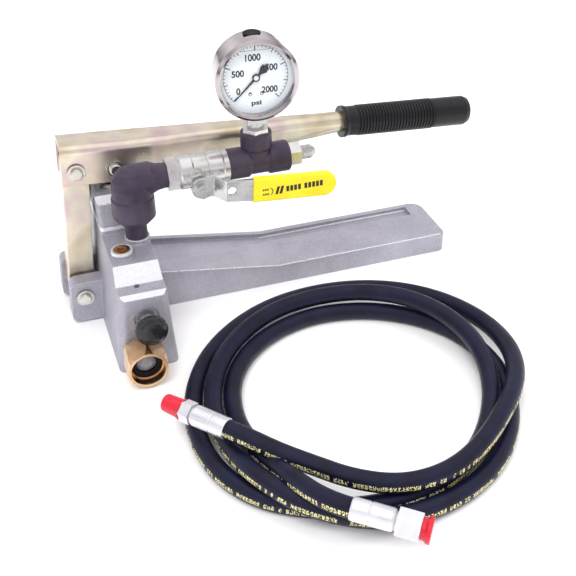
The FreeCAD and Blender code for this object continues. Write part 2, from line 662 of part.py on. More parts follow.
def gauge_frame():
    """Frame on the gauge's axis of rotation: local -Y leaves its face."""
    return FreeCAD.Placement(vec(d.branch_x, d.run_y, d.gauge_high),
                             FreeCAD.Rotation(Z_AXIS, d.gauge_turn))


def gauge():
    place = gauge_frame()
    r, back, front = d.case_r, -d.case_back, -d.case_front
    top = r - 1.2
    case = turned([(0, back), (r - 3, back), (r, back + 3), (r, front - 4.5), (r - 1.4, front - 4.5),
                   (r - 1.4, back + 3.5), (r - 4, back + 1.4), (0, back + 1.4)], (0, 0, 0), OUT)
    fill_y = 2.2
    fill = rod((0, fill_y, top - 6), Z_AXIS, 5.0, 14)
    stem_hole = rod((0, 0, -r - 6), Z_AXIS, 4.7, 12)
    node("gauge_case", cut(case, fill, stem_hole), place)
    big = d.bezel_r
    node("gauge_bezel", turned(
        [(r, front - 12), (big - 0.6, front - 12), (big, front - 11), (big, front - 2.0),
         (big - 2.2, front), (big - 3.8, front - 0.6), (big - 4.6, front - 3.0),
         (big - 4.6, front - 4.5), (r, front - 4.5)], (0, 0, 0), OUT), place)
    node("gauge_lens", rod((0, -(front - 6.5), 0), OUT, r - 1.4, 2.0), place)
    node("gauge_dial", cut(rod((0, d.dial_front + 0.8, 0), OUT, r - 1.5, 0.8),
                           rod((0, d.dial_front + 2, 0), OUT, 1.6, 4),
                           *[rod((x, d.dial_front + 2, -12.2), OUT, 0.9, 4) for x in (-4.6, 4.6)]),
         place)
    socket = fused(solid("Box", (-7.0, -7.0, -38.5), Length=14, Width=14, Height=6.9),
                   rod((0, 0, -50.5), Z_AXIS, 6.35, 12.2), rod((0, 0, -32.0), Z_AXIS, 4.65, 9.0),
                   solid("Box", (-5, -3.0, -24.0), Length=10, Width=9, Height=9))
    node("gauge_socket", cut(socket, rod((0, 0, -52), Z_AXIS, 1.6, 30)), place)
    plug = turned([(0, top - 3.5), (5.0, top - 3.5), (5.0, top + 1.25), (6.8, top + 1.25),
                   (6.8, top + 1.6), (6.0, top + 2.2), (0, top + 2.2)], (0, fill_y, 0))
    node("gauge_fill_plug", plug, place)
    gauge_works(place)


def gauge_works(place):
    """The C-shaped pressure tube, the movement plates and the pointer."""
    tube_r = 20.0
    ring_part = doc.addObject("Part::Torus", "piece")
    bind(ring_part, {"Radius1": tube_r, "Radius2": 2.2})
    ring_part.Placement = frame((0, 4.5, 0), OUT)
    gap = solid("Box", (0, -10, -30), Length=30, Width=30, Height=25)
    mouth = solid("Box", (-5.0, -10, -30), Length=10, Width=30, Height=14)
    node("bourdon_tube", cut(ring_part, gap, mouth), place)
    plates = [solid("Box", (-9, y, -8), Length=18, Width=1.2, Height=16) for y in (-5.4, 1.6)]
    posts = [rod((x, -5, z), Y_AXIS, 1.2, 7.5) for x in (-7, 7) for z in (-6, 6)]
    leg = solid("Box", (-4, 1.6, -15.0), Length=8, Width=1.2, Height=8)
    node("gauge_movement", cut(fused(*plates, *posts, leg), rod((0, -10, 0), Y_AXIS, 0.95, 20)), place)
    pointer()


def pointer():
    """Needle resting at zero, seven and a half o'clock, with a broad arrow tail."""
    zero = FreeCAD.Placement(vec(0, 0, 0), FreeCAD.Rotation(Y_AXIS, -135))
    out = -d.dial_front + 1.2
    blade = extruded([(-0.9, -out, 0), (0.9, -out, 0), (0.25, -out, 23.7), (-0.25, -out, 23.7)],
                     OUT, 0.5)
    tail = extruded([(-0.9, -out, 0), (-0.9, -out, -4.2), (-3.3, -out, -8.2), (0, -out, -14.0),
                     (3.3, -out, -8.2), (0.9, -out, -4.2), (0.9, -out, 0)], OUT, 0.5)
    hub = rod((0, -out + 0.2, 0), OUT, 2.9, 1.2)
    arbor = rod((0, 4.0, 0), OUT, 0.9, out + 4.0)
    place = gauge_frame().multiply(zero)
    node("gauge_pointer", fused(blade, tail, hub, arbor), place)


# ---------------------------------------------------------------- valves in the block

def check_valve(prefix, at, axis, seat_deep, spring_long):
    """A seat ring, a ball on it and the spring behind, along axis from at."""
    x, y, z = at
    node(prefix + "_seat", turned([(2.4, 0), (6.5, 0), (6.5, seat_deep), (3.6, seat_deep),
                                   (2.4, seat_deep - 1.2)], at, axis))
    ball_r = 4.2
    lift = seat_deep - 3.6 + ball_r * sqrt(2) + 0.02
    centre = vec(*at) + axis * lift
    node(prefix + "_ball", solid("Sphere", tuple(centre), Radius=ball_r))
    start = centre + axis * (ball_r + 0.05)
    node(prefix + "_spring", turned([(2.6, 0), (4.4, 0), (4.4, spring_long), (2.6, spring_long)],
                                    tuple(start), axis))
    return start + axis * spring_long


def block_valves():
    front = d.block_front
    inlet_at = (d.inlet_x, front + 22.0, d.inlet_high)
    inlet_end = check_valve("inlet_check", inlet_at, Y_AXIS, 5.0, 8.0)
    node("inlet_spring_clip", turned([(2.0, 0), (6.5, 0), (6.5, 1.2), (2.0, 1.2)],
                                     tuple(inlet_end + Y_AXIS * 0.02), Y_AXIS))
    outlet_at = (d.plug_x, d.plug_y, 62.0)
    check_valve("outlet_check", outlet_at, Z_AXIS, 4.0, 5.6)
    plug = rod((d.plug_x, d.plug_y, 78.3), Z_AXIS, 6.5, d.plug_boss_top - 78.3 + 0.4)
    node("outlet_check_plug", cut(plug, hexagon((d.plug_x, d.plug_y, d.plug_boss_top - 3.6),
                                                Z_AXIS, 6.35, 8, 15)))
    inlet_fitting()
    release_valve()


def inlet_fitting():
    """Brass hose connector: threaded tailpiece, swivel nut, washer and domed screen."""
    at = (d.inlet_x, d.block_front, d.inlet_high)
    node("inlet_tailpiece", turned(
        [(5.6, -19.9), (9.0, -19.9), (9.0, 0), (10.6, 0), (10.6, 3.0), (9.0, 3.0), (9.0, 13.0),
         (11.6, 13.0), (11.6, 14.6), (5.6, 14.6)], at, OUT))
    shell = hexagon((at[0], at[1] - 3.6, at[2]), OUT, 29.2, 23.0, 24)
    shape = turned([(0, 3.6), (15.9, 3.6), (16.6, 4.6), (16.6, 18.5), (15.2, 26.0), (0, 26.0)],
                   at, OUT)
    nut = cut(common(shell, shape), turned(
        [(0, 3), (9.1, 3), (9.1, 12.9), (12.2, 12.9), (12.2, 18.2), (13.1, 18.2), (13.1, 27),
         (0, 27)], at, OUT))
    node("inlet_swivel_nut", nut)
    node("inlet_washer", turned([(7.6, 14.7), (11.8, 14.7), (11.8, 18.0), (7.6, 18.0)], at, OUT))
    node("inlet_screen", turned(
        [(0, 17.2), (4.0, 16.5), (6.7, 15.0), (7.5, 14.7), (7.5, 15.6), (4.2, 17.4), (0, 18.1)],
        at, OUT))


def release_valve():
    at = (d.knob_x, d.block_front, d.knob_high)
    node("release_gland", turned(
        [(3.06, -18.0), (7.0, -18.0), (7.0, 8.6), (6.2, 9.4), (3.06, 9.4)], at, OUT))
    node("release_stem", turned(
        [(0, -43.0), (2.8, -36.0), (2.8, -18.2), (3.0, -17.8), (3.0, 16.4), (0, 16.4)], at, OUT))
    knob = turned(
        [(3.03, 11.0), (8.4, 11.0), (9.0, 12.4), (11.6, 12.8), (12.5, 14.0), (12.5, 17.0),
         (11.8, 18.2), (10.6, 18.6), (8.8, 19.8), (5.0, 20.6), (0, 20.8), (0, 16.43),
         (3.03, 16.43)], at, OUT)
    notches = []
    for number in range(24):
        angle = 2 * pi * number / 24
        notches.append(rod((at[0] + 12.8 * cos(angle), at[1] - 11.4, at[2] + 12.8 * sin(angle)),
                           OUT, 0.6, 8))
    node("release_knob", cut(knob, *notches))


# ---------------------------------------------------------------- hose

def hose_ferrule(at, axis, nose_r, nose_end):
    """A crimped ferrule around the hose's end, with the fitting's nose beyond it."""
    r = d.hose_r
    return turned(
        [(0, 0), (r + 0.2, 0), (r + 0.7, 1.0), (r + 0.7, 11.0), (r + 0.3, 12.0), (r + 0.7, 13.0),
         (r + 0.7, 26.0), (r + 0.1, 27.5), (nose_r, 28.5), (nose_r, nose_end), (0, nose_end)],
        at, axis)


def hose_outer_end():
    """Female end: a swivel nut turning on the fitting's nose, with a red plug in its mouth."""
    at, axis = outer_end()
    nose = 6.0
    back = vec(*at) + axis * 29.2
    hollow = turned([(0, -1), (nose + d.swivel_gap, -1), (nose + d.swivel_gap, 6.2), (6.4, 6.2),
                     (6.4, 17), (0, 17)], tuple(back), axis)
    node("hose_swivel_nut", cut(hexagon(tuple(back), axis, 17.4, 15.0), hollow))
    node("hose_outer_plug", turned(
        [(0, 7.0), (6.3, 7.0), (6.3, 15.1), (7.2, 15.1), (7.2, 17.6), (8.7, 19.2), (8.7, 21.6),
         (0, 21.6)], tuple(back), axis))


def hose_inner_end():
    """Male end: a hex connector under a red push-on cap."""
    at, axis = inner_end()
    start = vec(*at) + axis * 28.9
    node("hose_inner_connector", fused(
        hexagon(tuple(start), axis, 14.3, 8.0),
        turned([(0, 8), (5.5, 8), (5.5, 19), (0, 19)], tuple(start), axis)))
    node("hose_inner_cap", turned(
        [(5.5, 8.2), (7.8, 8.2), (7.6, 10.0), (7.0, 10.6), (6.5, 23.0), (5.9, 24.0), (0, 24.0),
         (0, 19.0), (5.5, 19.0)], tuple(start), axis))


def outer_end():
    axis = vec(0.80, -0.595, -0.073)
    axis.normalize()
    return (78.9, -318.3, d.end_high), axis


def inner_end():
    axis = vec(-0.63, 0.777, 0)
    axis.normalize()
    return (26.6, -224.3, d.end_high), axis


def hose():
    """The coiled hose as one closed ring with its two fittings lying on it."""
    centre = vec(d.coil_x, d.coil_y, 0)
    turn = FreeCAD.Rotation(Z_AXIS, d.coil_turn)
    long_axis = turn.multVec(X_AXIS)
    short_axis = turn.multVec(Y_AXIS)

    def disc(long, short):
        ellipse = Part.Ellipse(centre + long_axis * long, centre + short_axis * short, centre)
        return Part.Face(Part.Wire(ellipse.toShape())).extrude(Z_AXIS * d.coil_high)
    ring = disc(d.coil_outer_long, d.coil_outer_short).cut(
        disc(d.coil_inner_long, d.coil_inner_short))
    for at, axis in (outer_end(), inner_end()):
        ring = ring.cut(Part.makeCylinder(d.hose_r + 0.8, 31, vec(*at) - axis * 2, axis))
        ring = ring.cut(Part.makeCylinder(d.hose_r + 3.6, 90, vec(*at) + axis * 29, axis))
    part = doc.addObject("Part::Feature", "coil")
    part.Shape = ring
    node("hose_coil", part)
    outer = hose_ferrule(*outer_end(), 6.0, 35.0)
    inner = hose_ferrule(*inner_end(), 5.2, 28.9)
    node("hose_ferrules", together(outer, inner))
    hose_outer_end()
    hose_inner_end()


base_casting()
cylinder_parts()
plunger()
link()
clevis_pins()
lever()
riser_and_elbow()
ball_valve()
tee_and_adapter()
gauge()
block_valves()
hose()

doc.recompute()
os.makedirs("parts", exist_ok=True)
for part in doc.Objects:
    if "Invalid" in part.State or "Error" in part.State:
        raise RuntimeError("%s is not valid: %s" % (part.Label, part.State))
for part in nodes:
    shape = part.Shape
    if shape.isNull() or not shape.isValid() or not shape.Solids:
        raise RuntimeError("bad shape: " + part.Label)
    shape.exportStep("parts/%s.step" % part.Label)
    print("%-22s solids %d volume %9.1f" % (part.Label, len(shape.Solids), shape.Volume))
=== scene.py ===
"""The hydraulic hand pump's scene: materials, hose, printed dial and marks, and the studio."""

import json
import math

import bpy
from mathutils import Matrix, Vector


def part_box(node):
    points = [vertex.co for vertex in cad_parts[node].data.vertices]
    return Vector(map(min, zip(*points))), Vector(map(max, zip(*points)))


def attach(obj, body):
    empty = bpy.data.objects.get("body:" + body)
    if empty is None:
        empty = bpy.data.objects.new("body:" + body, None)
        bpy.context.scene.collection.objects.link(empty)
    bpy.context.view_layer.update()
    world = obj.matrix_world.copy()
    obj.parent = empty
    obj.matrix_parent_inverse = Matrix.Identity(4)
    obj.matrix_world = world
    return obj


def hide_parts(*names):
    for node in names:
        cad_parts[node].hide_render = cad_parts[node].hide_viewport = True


MM = 0.001
NOISE_RANGE = (0.3, 0.7)
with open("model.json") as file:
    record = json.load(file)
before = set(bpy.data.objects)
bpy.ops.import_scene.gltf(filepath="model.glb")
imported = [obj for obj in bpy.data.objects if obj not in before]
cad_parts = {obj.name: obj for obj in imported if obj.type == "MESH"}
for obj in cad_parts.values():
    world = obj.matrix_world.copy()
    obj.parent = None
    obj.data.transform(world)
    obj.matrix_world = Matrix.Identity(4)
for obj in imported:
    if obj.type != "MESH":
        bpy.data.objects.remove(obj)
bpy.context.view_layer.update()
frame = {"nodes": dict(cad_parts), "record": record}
cad = frame["nodes"]
record = frame["record"]
joint_of = {joint["name"]: joint for joint in record["behaviour"]["joints"]}


# ---------------------------------------------------------------- material helpers

class Graph:
    """One material's node tree, with its principled shader and output in place."""

    def __init__(self, name):
        self.material = bpy.data.materials.new(name)
        self.material.use_nodes = True
        self.tree = self.material.node_tree
        self.tree.nodes.clear()
        self.shader = self.add("ShaderNodeBsdfPrincipled")
        output = self.add("ShaderNodeOutputMaterial")
        self.tree.links.new(self.shader.outputs[0], output.inputs[0])
        self.coords = self.add("ShaderNodeTexCoord").outputs["Object"]

    def add(self, kind, **settings):
        node = self.tree.nodes.new(kind)
        for key, value in settings.items():
            setattr(node, key, value)
        return node

    def put(self, target, value):
        """Feed a socket from another socket, or set it to a plain value."""
        if isinstance(value, bpy.types.NodeSocket):
            self.tree.links.new(value, target)
        else:
            target.default_value = value

    def set(self, socket, value):
        self.put(self.shader.inputs[socket], value)

    def math(self, operation, first, second=0.0):
        node = self.add("ShaderNodeMath", operation=operation)
        for target, value in zip(node.inputs, (first, second)):
            self.put(target, value)
        return node.outputs[0]

    def scaled(self, stretch):
        node = self.add("ShaderNodeMapping")
        self.put(node.inputs["Vector"], self.coords)
        node.inputs["Scale"].default_value = stretch
        return node.outputs[0]

    def noise(self, scale, detail=3.0, roughness=0.55, stretch=(1, 1, 1)):
        node = self.add("ShaderNodeTexNoise")
        self.put(node.inputs["Vector"], self.scaled(stretch))
        node.inputs["Scale"].default_value = scale
        node.inputs["Detail"].default_value = detail
        node.inputs["Roughness"].default_value = roughness
        return node.outputs["Fac"]

    def remap(self, value, from_low, from_high, low=0.0, high=1.0):
        node = self.add("ShaderNodeMapRange")
        self.put(node.inputs["Value"], value)
        for socket, number in (("From Min", from_low), ("From Max", from_high),
                               ("To Min", low), ("To Max", high)):
            node.inputs[socket].default_value = number
        return node.outputs["Result"]

    def spread(self, noise, low=0.0, high=1.0):
        """Stretch a noise's usual range to low..high."""
        return self.remap(noise, *NOISE_RANGE, low, high)

    def blend(self, share, first, second):
        node = self.add("ShaderNodeMix", data_type="RGBA")
        self.put(node.inputs["Factor"], share)
        for socket, value in ((6, first), (7, second)):
            if isinstance(value, tuple):
                value = (*value, 1.0)
            self.put(node.inputs[socket], value)
        return node.outputs[2]

    def position(self):
        node = self.add("ShaderNodeSeparateXYZ")
        self.put(node.inputs[0], self.coords)
        return node.outputs

    def rounded_normal(self, radius):
        node = self.add("ShaderNodeBevel", samples=6)
        node.inputs["Radius"].default_value = radius
        return node.outputs[0]

    def edge_share(self, radius):
        """1 on edges, 0 on flat faces. It marks worn edges in most finishes, and the casting's
        edges painted lighter as painted highlight.
        """
        facing = self.add("ShaderNodeVectorMath", operation="DOT_PRODUCT")
        self.put(facing.inputs[0], self.rounded_normal(radius))
        self.put(facing.inputs[1], self.add("ShaderNodeNewGeometry").outputs["Normal"])
        return self.remap(facing.outputs["Value"], 0.99, 0.86)

    def bump(self, height, distance, strength=1.0, normal=None):
        node = self.add("ShaderNodeBump")
        node.inputs["Strength"].default_value = strength
        node.inputs["Distance"].default_value = distance
        self.put(node.inputs["Height"], height)
        if normal is not None:
            self.put(node.inputs["Normal"], normal)
        return node.outputs[0]


def finish_of(name, dark, light, metallic, rough, grain=(400, 0.05),
              patch=40.0, edge=0.4, worn=None, specular=0.5):
    """A surface with patchy colour, uneven roughness, fine grain and softened, worn edges."""
    g = Graph(name)
    patches = g.remap(g.noise(patch, 4), 0.32, 0.68)
    colour = g.blend(patches, dark, light)
    edges = g.edge_share(edge * MM)
    if worn is not None:
        colour = g.blend(g.math("MULTIPLY", edges, g.noise(patch * 9)), colour, worn)
    g.set("Base Color", colour)
    g.set("Metallic", metallic)
    smudges = g.noise(patch * 2.3, 5)
    g.set("Roughness", g.spread(smudges, *rough))
    scale, depth = grain
    fine = g.noise(scale, 4, 0.6)
    g.set("Normal", g.bump(fine, depth * MM, 1.0, g.rounded_normal(edge * MM)))
    g.set("Specular IOR Level", specular)
    return g


# ---------------------------------------------------------------- materials

# Bevels facing up towards the front, where the light falls, are painted near-white on the casting,
# and so is a thin band of height under the tower: painted highlight, partly machined metal.
BEVEL_FACING = (0, -0.7071, 0.7071)
BEVEL_LIMIT = 0.975
BRIGHT_BAND_HEIGHTS = (83.0, 86.0)
MILLING_RATE = 9000.0


def cast_aluminium():
    """Light silver casting with a pebbled skin. Bevels facing up to the front and a thin band under
    the tower are painted near-white, partly machined metal and partly painted highlight, and every
    edge carries a lighter painted highlight.
    """
    g = Graph("cast_aluminium")
    x, _, z = g.position()
    facing = g.add("ShaderNodeVectorMath", operation="DOT_PRODUCT")
    g.put(facing.inputs[0], g.add("ShaderNodeNewGeometry").outputs["Normal"])
    facing.inputs[1].default_value = BEVEL_FACING
    facet = g.math("GREATER_THAN", facing.outputs["Value"], BEVEL_LIMIT)
    # A thin band of height under the tower is painted bright with the bevels: painted highlight.
    above_band_floor = g.math("GREATER_THAN", z, BRIGHT_BAND_HEIGHTS[0] * MM)
    below_tower = g.math("LESS_THAN", z, BRIGHT_BAND_HEIGHTS[1] * MM)
    facet = g.math("MAXIMUM", facet, g.math("MULTIPLY", above_band_floor, below_tower))
    patches = g.spread(g.noise(28, 4))
    colour = g.blend(patches, (0.30, 0.29, 0.345), (0.42, 0.41, 0.47))
    specks = g.remap(g.noise(900, 2, 0.7), 0.35, 0.6)
    colour = g.blend(g.math("MULTIPLY", specks, 0.35), colour, (0.66, 0.65, 0.72))
    # Every edge of the casting is painted lighter: painted highlight along the edges.
    colour = g.blend(g.math("MULTIPLY", g.edge_share(1.2 * MM), 0.5), colour, (0.80, 0.80, 0.84))
    # Bevels and band painted near-white: painted highlight, partly machined metal with smoother
    # roughness and milling marks.
    g.set("Base Color", g.blend(facet, colour, (0.80, 0.80, 0.83)))
    g.set("Metallic", 0.55)
    rough = g.spread(g.noise(120, 3), 0.42, 0.56)
    smooth = g.math("MULTIPLY", facet, -0.2)
    g.set("Roughness", g.math("ADD", rough, smooth))
    pebbles = g.noise(620, 3, 0.65)
    pebbles = g.math("MULTIPLY", pebbles, g.math("SUBTRACT", 1.0, facet))
    milling = g.math("SINE", g.math("MULTIPLY", x, MILLING_RATE))
    milling = g.math("MULTIPLY", milling, g.math("MULTIPLY", facet, 0.08))
    height = g.math("ADD", pebbles, milling)
    waves = g.math("MULTIPLY", g.noise(70, 2), 1.4)
    height = g.math("ADD", height, waves)
    g.set("Normal", g.bump(height, 0.65 * MM, 1.0, g.rounded_normal(0.9 * MM)))
    return g.material


def yellow_zinc():
    """Yellow passivated plate: pale gold with pink and green bands and drawn streaks."""
    g = Graph("yellow_zinc")
    bands = g.noise(16, 3, 0.6)
    colour = g.blend(g.remap(bands, 0.36, 0.52), (0.56, 0.46, 0.30), (0.80, 0.73, 0.58))
    colour = g.blend(g.remap(bands, 0.52, 0.66), colour, (0.66, 0.50, 0.52))
    green = g.remap(g.noise(30, 2), 0.58, 0.74, 0.0, 0.55)
    colour = g.blend(green, colour, (0.52, 0.62, 0.46))
    g.set("Base Color", colour)
    g.set("Metallic", 0.95)
    g.set("Roughness", g.spread(g.noise(50, 5), 0.24, 0.42))
    streaks = g.noise(260, 3, 0.6, (0.12, 1.0, 1.0))
    g.set("Normal", g.bump(streaks, 0.05 * MM, 0.8, g.rounded_normal(0.8 * MM)))
    return g.material


THREAD_LENGTH = 13.0
THREAD_PITCH = 1.27
WIRE_PITCH = 0.9


def threaded_nickel():
    """Bright nickel with the flare end's thread cut as rings."""
    g = finish_of("nickel", (0.62, 0.61, 0.60), (0.80, 0.79, 0.77), 1.0, (0.22, 0.38),
                  (500, 0.02), patch=60, edge=0.5)
    x = g.position()[0]
    thread_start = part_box("outlet_adapter")[1][0] - THREAD_LENGTH * MM
    on_thread = g.math("GREATER_THAN", x, thread_start)
    rings = g.math("SINE", g.math("MULTIPLY", x, 2 * math.pi / (THREAD_PITCH * MM)))
    height = g.math("MULTIPLY", rings, on_thread)
    grain = g.shader.inputs["Normal"].links[0].from_socket
    g.set("Normal", g.bump(height, 0.35 * MM, 0.8, grain))
    return g.material


def screen_mesh():
    """Woven wire cloth: two crossing rows of wires, with painted shade in the gaps between them."""
    g = Graph("steel_mesh")
    x, _, z = g.position()
    rate = 2 * math.pi / (WIRE_PITCH * MM)
    along = g.math("SINE", g.math("MULTIPLY", x, rate))
    across = g.math("SINE", g.math("MULTIPLY", z, rate))
    wires = g.math("MAXIMUM", along, across)
    # Gaps between the wires are painted near-black: painted shade, the dark inside of the fitting
    # seen through the cloth.
    g.set("Base Color", g.blend(g.remap(wires, 0.0, 0.7), (0.03, 0.03, 0.05), (0.70, 0.72, 0.82)))
    g.set("Metallic", 0.3)
    g.set("Roughness", g.spread(g.noise(300), 0.3, 0.5))
    g.set("Normal", g.bump(wires, 0.25 * MM, 0.9))
    return g.material


def dial_enamel():
    """Cool white printed dial with a faint mottle."""
    g = Graph("white_enamel")
    g.set("Base Color", g.blend(g.noise(160, 3), (0.80, 0.86, 0.89), (0.86, 0.91, 0.93)))
    g.set("Roughness", g.spread(g.noise(80), 0.35, 0.5))
    return g.material


def clear_lens():
    """Thin clear lens: mostly see-through, with a glossy front."""
    g = Graph("clear_glass")
    g.set("Base Color", g.blend(g.noise(30), (0.86, 0.92, 0.96), (0.95, 0.98, 1.0)))
    g.set("Roughness", g.spread(g.noise(40), 0.02, 0.06))
    g.set("Alpha", 0.02)
    g.set("Coat Weight", 0.3)
    return g.material


# Slot: dark and light colour, metallic, roughness range, grain scale and depth in millimetres.
PLAIN = {
    "hard_chrome": ((0.62, 0.62, 0.64), (0.78, 0.78, 0.80), 1.0, (0.06, 0.16), (900, 0.01)),
    "liner_steel": ((0.40, 0.40, 0.42), (0.55, 0.55, 0.57), 1.0, (0.25, 0.40), (700, 0.02)),
    "bearing_steel": ((0.62, 0.62, 0.64), (0.74, 0.74, 0.76), 1.0, (0.06, 0.12), (700, 0.005)),
    "spring_steel": ((0.32, 0.32, 0.34), (0.45, 0.45, 0.47), 1.0, (0.25, 0.40), (700, 0.02)),
    "pin_steel": ((0.58, 0.56, 0.50), (0.76, 0.74, 0.68), 1.0, (0.22, 0.38), (500, 0.03)),
    "stainless": ((0.56, 0.56, 0.56), (0.72, 0.72, 0.71), 1.0, (0.20, 0.34), (420, 0.03)),
    "gauge_stainless": ((0.42, 0.38, 0.39), (0.58, 0.54, 0.54), 1.0, (0.07, 0.16), (420, 0.01)),
    "brass": ((0.60, 0.36, 0.18), (0.82, 0.57, 0.34), 1.0, (0.16, 0.32), (420, 0.03)),
    "white_zinc": ((0.70, 0.70, 0.74), (0.86, 0.86, 0.89), 0.75, (0.22, 0.38), (420, 0.03)),
    "forged_steel": ((0.034, 0.025, 0.044), (0.070, 0.054, 0.084), 0.25, (0.36, 0.52), (330, 0.12)),
    "black_vinyl": ((0.004, 0.004, 0.005), (0.010, 0.010, 0.012), 0.0, (0.24, 0.40), (500, 0.04)),
    "seal_rubber": ((0.003, 0.003, 0.005), (0.009, 0.008, 0.012), 0.0, (0.45, 0.62), (600, 0.04)),
    "black_plastic": ((0.008, 0.008, 0.009), (0.016, 0.016, 0.018), 0.0, (0.12, 0.24), (500, 0.02)),
    "black_enamel": ((0.003, 0.003, 0.008), (0.008, 0.008, 0.016), 0.0, (0.25, 0.35), (500, 0.01)),
    "yellow_vinyl": ((0.74, 0.62, 0.008), (0.86, 0.74, 0.02), 0.0, (0.24, 0.36), (300, 0.05)),
    "red_plastic": ((0.50, 0.006, 0.022), (0.68, 0.012, 0.035), 0.0, (0.22, 0.36), (300, 0.03)),
    "ptfe": ((0.84, 0.84, 0.82), (0.92, 0.92, 0.90), 0.0, (0.35, 0.50), (500, 0.02)),
}
WORN = {"brass": (0.95, 0.82, 0.55), "forged_steel": (0.16, 0.14, 0.16),
        "white_zinc": (0.95, 0.95, 0.97), "pin_steel": (0.88, 0.87, 0.82),
        "stainless": (0.90, 0.90, 0.90), "yellow_vinyl": (0.97, 0.85, 0.25)}
DULL = {"black_vinyl": 0.32, "seal_rubber": 0.2, "forged_steel": 0.4, "black_enamel": 0.2}


def finishes():
    """One material for each of the record's slots."""
    made = {name: finish_of(name, *values, worn=WORN.get(name),
                            specular=DULL.get(name, 0.5)).material
            for name, values in PLAIN.items()}
    made["cast_aluminium"] = cast_aluminium()
    made["yellow_zinc"] = yellow_zinc()
    made["nickel"] = threaded_nickel()
    made["steel_mesh"] = screen_mesh()
    made["white_enamel"] = dial_enamel()
    made["clear_glass"] = clear_lens()
    return made


def dress(material_of):
    """Give every CAD node the material of its slot."""
    for entry in record["subparts"]:
        mesh = cad[entry["node"]].data
        mesh.materials.clear()
        mesh.materials.append(material_of.get(entry["material_slot"], material_of["black_vinyl"]))


# ---------------------------------------------------------------- hose

COIL_CENTRE = (139.5, -190.0)
HOSE_RADIUS = 6.9
# Where the hose leaves each ferrule, and the way that its fitting points.
INNER_END = ((26.6, -224.3, 30.0), (-0.63, 0.777, 0.0))
OUTER_END = ((78.9, -318.3, 30.0), (0.80, -0.595, -0.073))
STRAIGHT_END = 16
HOSE_SIDES = 28

# One entry for each guide point of the hose's turns, from the inner end to the outer end: degrees
# round the coil, distance from its centre, and lift above lying on the floor, in millimetres.
TURNS = [
    (216, 105, 17), (230, 103, 15), (244, 109, 15), (259, 114, 14), (273, 114, 14),
    (287, 110, 14), (301, 106, 15), (316, 105, 16), (331, 109, 15), (347, 115, 13),
    (3, 121, 9), (20, 127, 5), (38, 132, 2), (55, 133, 1), (72, 132, 0), (90, 129, 0),
    (108, 127, 0), (126, 125, 0), (144, 125, 0), (162, 126, 0), (178, 129, 0), (193, 132, 0),
    (205, 134, 0), (217, 133, 0),
    (228, 128, 0), (239, 123, 0), (250, 118, 0), (263, 113, 0), (277, 108, 0), (291, 103, 0),
    (306, 98, 1), (320, 95, 4), (335, 94, 7), (353, 95, 11), (12, 98, 13), (31, 101, 15),
    (50, 105, 15), (70, 108, 13), (90, 109, 11), (110, 110, 10), (130, 110, 8), (150, 111, 7),
    (170, 113, 5), (186, 115, 5), (199, 119, 7), (211, 125, 11), (222, 131, 14), (232, 135, 12),
    (243, 135, 8), (254, 133, 4), (265, 129, 2), (279, 124, 1), (292, 119, 0), (303, 115, 0),
    (316, 111, 0), (330, 108, 0), (348, 107, 0), (5, 105, 0), (22, 104, 0), (38, 102, 0),
    (55, 100, 0), (72, 99, 0), (92, 99, 0), (112, 98, 0), (132, 98, 0), (152, 98, 0),
    (170, 98, 0), (186, 100, 2), (198, 102, 4), (209, 107, 7), (218, 114, 13), (226, 123, 19),
]


def hose_route():
    """Control points of the whole hose, in millimetres: straight out of each fitting."""
    (start, start_axis), (end, end_axis) = INNER_END, OUTER_END
    points = [Vector(start), Vector(start) - STRAIGHT_END * Vector(start_axis)]
    for angle, reach, lift in TURNS:
        turn = math.radians(angle)
        points.append(Vector((COIL_CENTRE[0] + reach * math.cos(turn),
                              COIL_CENTRE[1] + reach * math.sin(turn), HOSE_RADIUS + lift)))
    points += [Vector(end) - STRAIGHT_END * Vector(end_axis), Vector(end)]
    return points


def line_through(points):
    """The smooth centreline that the hose follows, read back from its NURBS spline."""
    curve = bpy.data.curves.new("hose_line", "CURVE")
    curve.dimensions = "3D"
    spline = curve.splines.new("NURBS")
    spline.points.add(len(points) - 1)
    for target, point in zip(spline.points, points):
        target.co = (*(point * MM), 1.0)
    spline.order_u = 3
    spline.use_endpoint_u = True
    spline.resolution_u = 10
    holder = bpy.data.objects.new("hose_line", curve)
    bpy.context.scene.collection.objects.link(holder)
    bpy.context.view_layer.update()
    seen = holder.evaluated_get(bpy.context.evaluated_depsgraph_get())
    mesh = bpy.data.meshes.new_from_object(seen)
    line = [vertex.co.copy() for vertex in mesh.vertices]
    bpy.data.objects.remove(holder)
    bpy.data.meshes.remove(mesh)
    return line


def tube(name, line, radius, sides):
    """A closed tube along a line. Its UVs hold the length run and the share of the way round."""
    up = Vector((0, 0, 1))
    verts, faces, uvs = [], [], []
    run = [0.0]
    for before, after in zip(line, line[1:]):
        run.append(run[-1] + (after - before).length)
    for index, point in enumerate(line):
        ahead = line[min(index + 1, len(line) - 1)] - line[max(index - 1, 0)]
        ahead.normalize()
        side = ahead.cross(up).normalized()
        top = side.cross(ahead).normalized()
        for step in range(sides):
            angle = 2 * math.pi * step / sides
            verts.append(point + radius * (math.cos(angle) * side + math.sin(angle) * top))
    for ring in range(len(line) - 1):
        for step in range(sides):
            after = (step + 1) % sides
            faces.append((ring * sides + step, (ring + 1) * sides + step,
                          (ring + 1) * sides + after, ring * sides + after))
            low, high = step / sides, (step + 1) / sides
            uvs += [(run[ring], low), (run[ring + 1], low),
                    (run[ring + 1], high), (run[ring], high)]
    for ring, order in ((0, 1), (len(line) - 1, -1)):
        cap = [ring * sides + step for step in range(sides)][::order]
        faces.append(cap)
        uvs += [(run[ring], 0.5)] * sides
    mesh = bpy.data.meshes.new(name)
    mesh.from_pydata([tuple(v) for v in verts], [], faces)
    layer = mesh.uv_layers.new(name="along")
    for loop, uv in zip(layer.data, uvs):
        loop.uv = uv
    for polygon in mesh.polygons:
        polygon.use_smooth = len(polygon.vertices) == 4
    made = bpy.data.objects.new(name, mesh)
    bpy.context.scene.collection.objects.link(made)
    return made, run[-1]


